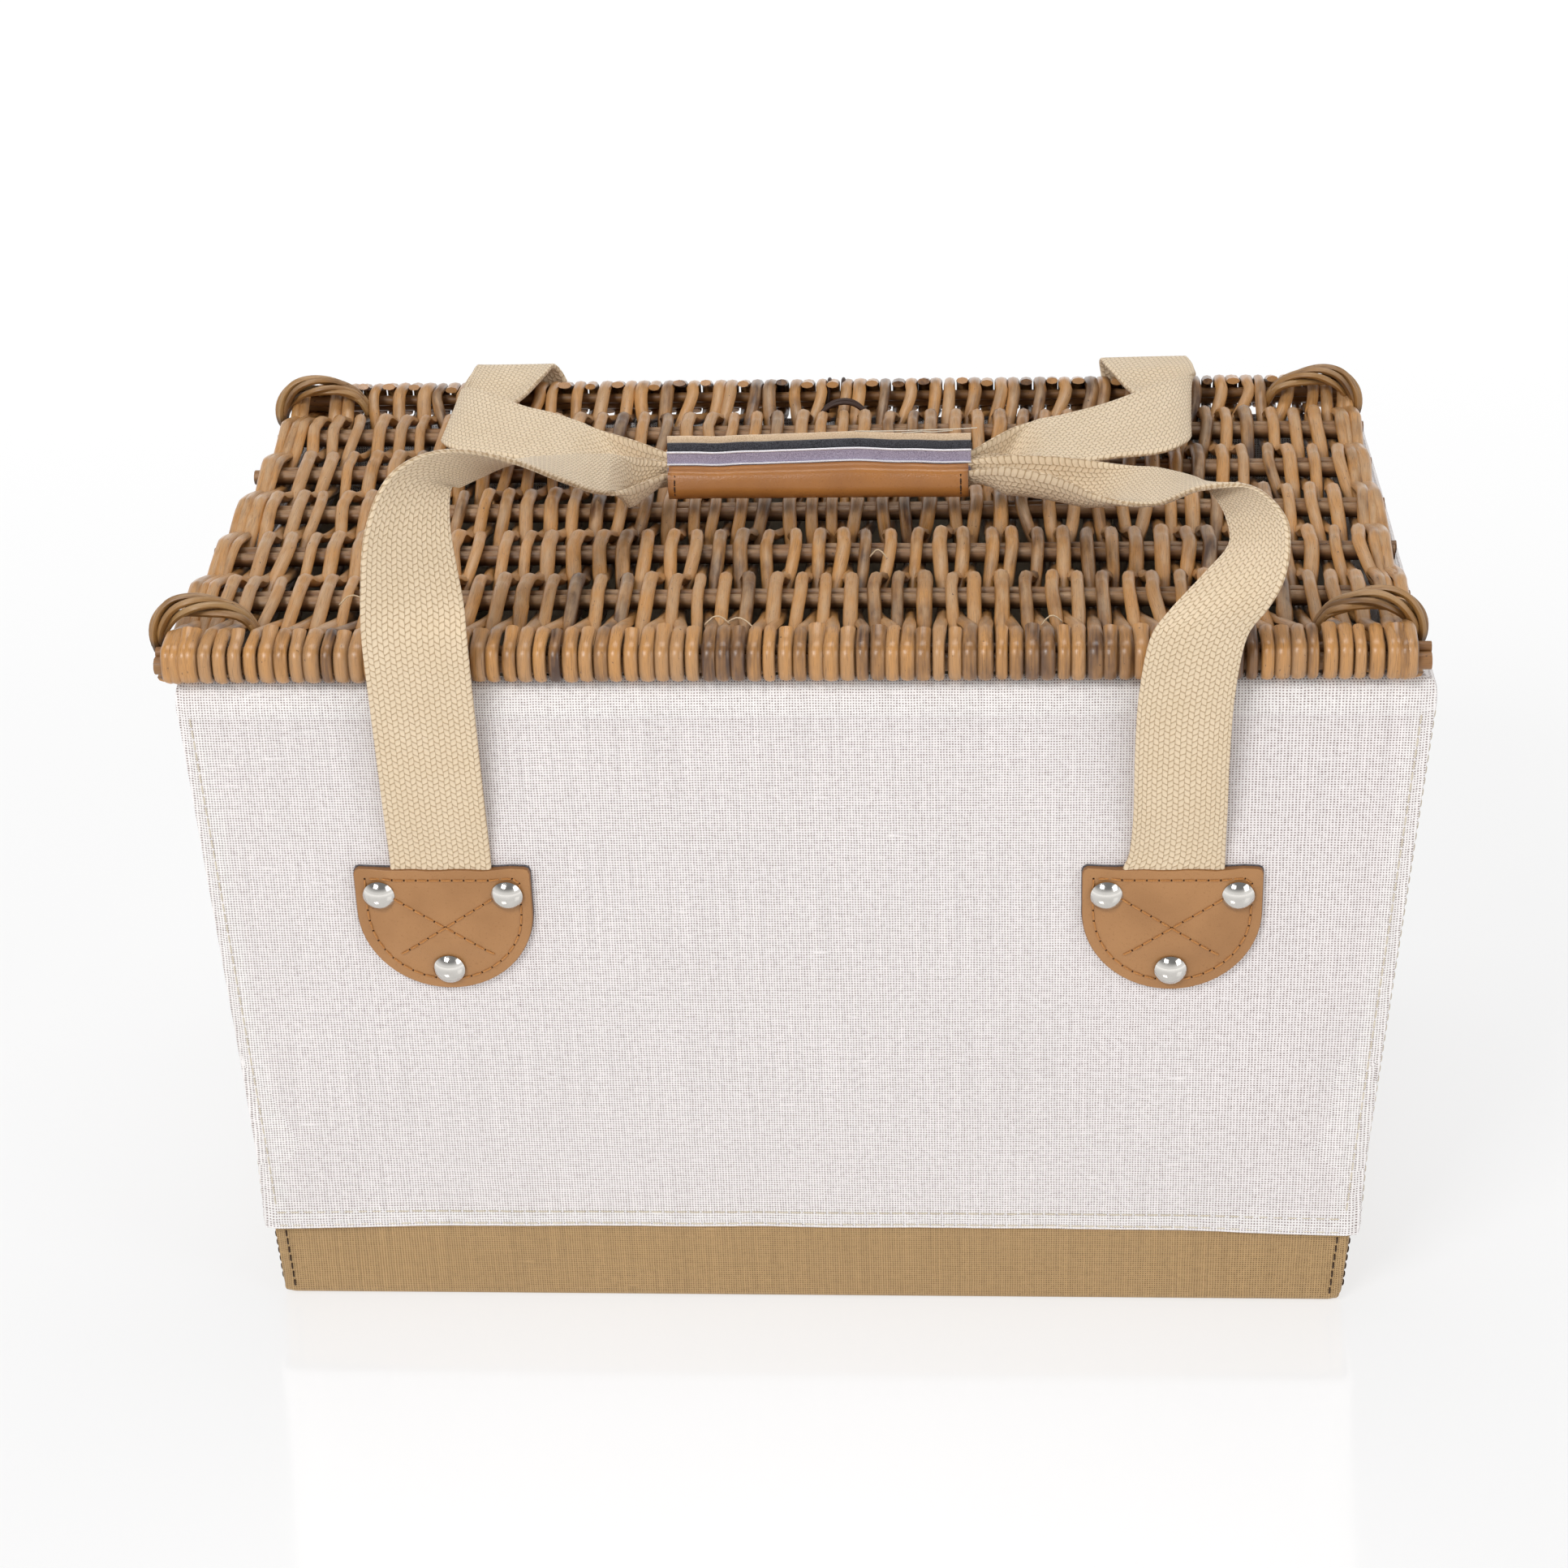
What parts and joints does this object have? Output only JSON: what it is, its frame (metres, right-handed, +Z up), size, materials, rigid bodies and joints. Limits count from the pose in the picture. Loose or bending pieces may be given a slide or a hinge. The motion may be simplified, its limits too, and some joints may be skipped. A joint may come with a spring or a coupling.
{
  "type": "picnic basket",
  "caption": "Lidded picnic basket: tapered linen and canvas body, hinged woven willow lid, webbing handles riveted on under leather tabs and joined in a leather grip.",
  "frame": {"origin": "centre of the underside, on the surface the basket stands on", "axes": "+X along the length, +Y to the back (hinge side), +Z up"},
  "size_m": [0.464, 0.3157, 0.3619],
  "materials": {
    "canvas": "heavy tan cotton canvas",
    "linen": "off-white open plain-weave linen",
    "lining": "plain cotton lining",
    "board": "stiff fibreboard inserts",
    "felt": "grey felt backing",
    "leather": "smooth tan leather",
    "loop_tape": "white-edged grey-lilac loop tape",
    "hook_tape": "dark grey hook tape",
    "webbing": "natural cotton webbing",
    "nickel": "polished nickel rivets",
    "tie_leather": "dark brown lace",
    "willow": "buff willow rods, clear coated",
    "willow_stake": "willow stakes, clear coated",
    "willow_loop": "twisted willow"
  },
  "bodies": {
    "basket": {"back_board": "board", "back_left_strap_end": "webbing", "back_left_tab": "leather", "back_left_tab_backing": "felt", "back_right_strap_end": "webbing", "back_right_tab": "leather", "back_right_tab_backing": "felt", "back_rivet_washers": "nickel", "back_rivets": "nickel", "base_board": "board", "base_canvas": "canvas", "front_board": "board", "front_left_strap_end": "webbing", "front_left_tab": "leather", "front_left_tab_backing": "felt", "front_right_strap_end": "webbing", "front_right_tab": "leather", "front_right_tab_backing": "felt", "front_rivet_washers": "nickel", "front_rivets": "nickel", "hinge_anchor_centre": "tie_leather", "hinge_anchor_left": "tie_leather", "hinge_anchor_right": "tie_leather", "left_board": "board", "linen_cover": "linen", "lining": "lining", "right_board": "board", "wall_canvas": "canvas"},
    "lid": {"hinge_tie_centre": "tie_leather", "hinge_tie_left": "tie_leather", "hinge_tie_right": "tie_leather", "lid_back_border": "willow", "lid_back_left_loop": "willow_loop", "lid_back_right_loop": "willow_loop", "lid_back_rod": "willow_stake", "lid_front_border": "willow", "lid_front_left_loop": "willow_loop", "lid_front_right_loop": "willow_loop", "lid_front_rod": "willow_stake", "lid_left_edge_rods": "willow", "lid_right_edge_rods": "willow", "lid_stake_pair_1": "willow_stake", "lid_stake_pair_2": "willow_stake", "lid_stake_pair_3": "willow_stake", "lid_stake_pair_4": "willow_stake", "lid_stake_pair_5": "willow_stake", "lid_weave": "willow"},
    "front_straps": {"front_left_strap": "webbing", "front_right_strap": "webbing"},
    "front_handle": {"front_grip_leather": "leather", "front_grip_tape": "loop_tape", "front_handle_webbing": "webbing"},
    "back_straps": {"back_left_strap": "webbing", "back_right_strap": "webbing"},
    "back_handle": {"back_grip_leather": "leather", "back_grip_tape": "hook_tape", "back_handle_webbing": "webbing"}
  },
  "joints": [
    {"name": "lid_hinge", "type": "hinge", "parent": "basket", "child": "lid", "pos_m": [0, 0.138, 0.2843], "axis": [-1, 0, 0], "range_deg": [0, 92]},
    {"name": "front_strap_swing", "type": "hinge", "parent": "basket", "child": "front_straps", "pos_m": [0, -0.14003, 0.2045], "axis": [1, 0, 0], "range_deg": [0, 115]},
    {"name": "front_handle_fold", "type": "hinge", "parent": "front_straps", "child": "front_handle", "pos_m": [0, -0.153, 0.3], "axis": [1, 0, 0], "range_deg": [0, 135], "deforming": ["front_handle_webbing"]},
    {"name": "back_strap_swing", "type": "hinge", "parent": "basket", "child": "back_straps", "pos_m": [0, 0.14003, 0.2045], "axis": [-1, 0, 0], "range_deg": [0, 98]},
    {"name": "back_handle_fold", "type": "hinge", "parent": "back_straps", "child": "back_handle", "pos_m": [0, 0.153, 0.3], "axis": [-1, 0, 0], "range_deg": [0, 125], "deforming": ["back_handle_webbing"]}
  ],
  "couplings": [
    {"joint": "front_strap_swing", "follows": "lid_hinge", "ratio": 1.24},
    {"joint": "front_handle_fold", "follows": "lid_hinge", "ratio": 1.46},
    {"joint": "back_strap_swing", "follows": "lid_hinge", "ratio": 1.05},
    {"joint": "back_handle_fold", "follows": "lid_hinge", "ratio": 1.35}
  ]
}
